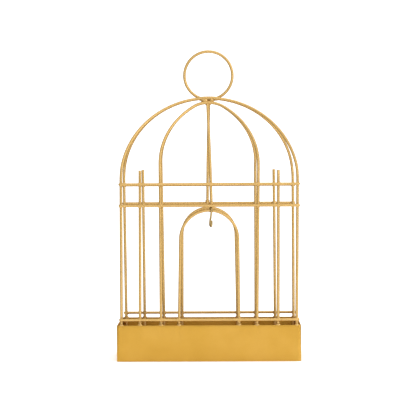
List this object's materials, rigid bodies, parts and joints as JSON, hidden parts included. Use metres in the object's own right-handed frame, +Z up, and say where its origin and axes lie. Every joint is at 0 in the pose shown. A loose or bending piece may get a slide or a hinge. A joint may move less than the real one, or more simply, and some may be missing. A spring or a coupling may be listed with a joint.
{
  "type": "wedding card holder",
  "caption": "Birdcage-shaped gold wire card holder: bent wire frames in an open sheet tray, with a ring handle and a loose sign hook.",
  "frame": {"origin": "centre of the underside of the tray, on the surface that it stands on", "axes": "+Z up; +X across the width, to the right as seen from the front; -Y towards the front, where the sign hook hangs"},
  "size_m": [0.2214, 0.1064, 0.3757],
  "materials": {
    "gold_wire": "satin gold lacquer on iron wire",
    "gold_sheet": "satin gold lacquer on sheet iron",
    "aged_brass": "dull, slightly tarnished"
  },
  "bodies": {
    "holder": {"tray_wall": "gold_sheet", "tray_floor": "gold_sheet", "front_outer_arch": "gold_wire", "front_inner_arch": "gold_wire", "front_door_arch": "gold_wire", "front_centre_bar": "gold_wire", "front_left_picket": "gold_wire", "front_right_picket": "gold_wire", "front_bottom_rail": "gold_wire", "front_middle_rail": "gold_wire", "front_top_rail": "gold_wire", "rear_outer_arch": "gold_wire", "rear_inner_arch": "gold_wire", "rear_door_arch": "gold_wire", "rear_centre_bar": "gold_wire", "rear_left_picket": "gold_wire", "rear_right_picket": "gold_wire", "rear_bottom_rail": "gold_wire", "rear_middle_rail": "gold_wire", "rear_top_rail": "gold_wire", "handle_ring": "gold_wire"},
    "hook": {"sign_hook": "aged_brass"}
  },
  "joints": [
    {"name": "hook_swing", "type": "hinge", "parent": "holder", "child": "hook", "pos_m": [0.003, -0.048, 0.1812], "axis": [1, 0, 0], "range_deg": [-60, 60]}
  ]
}
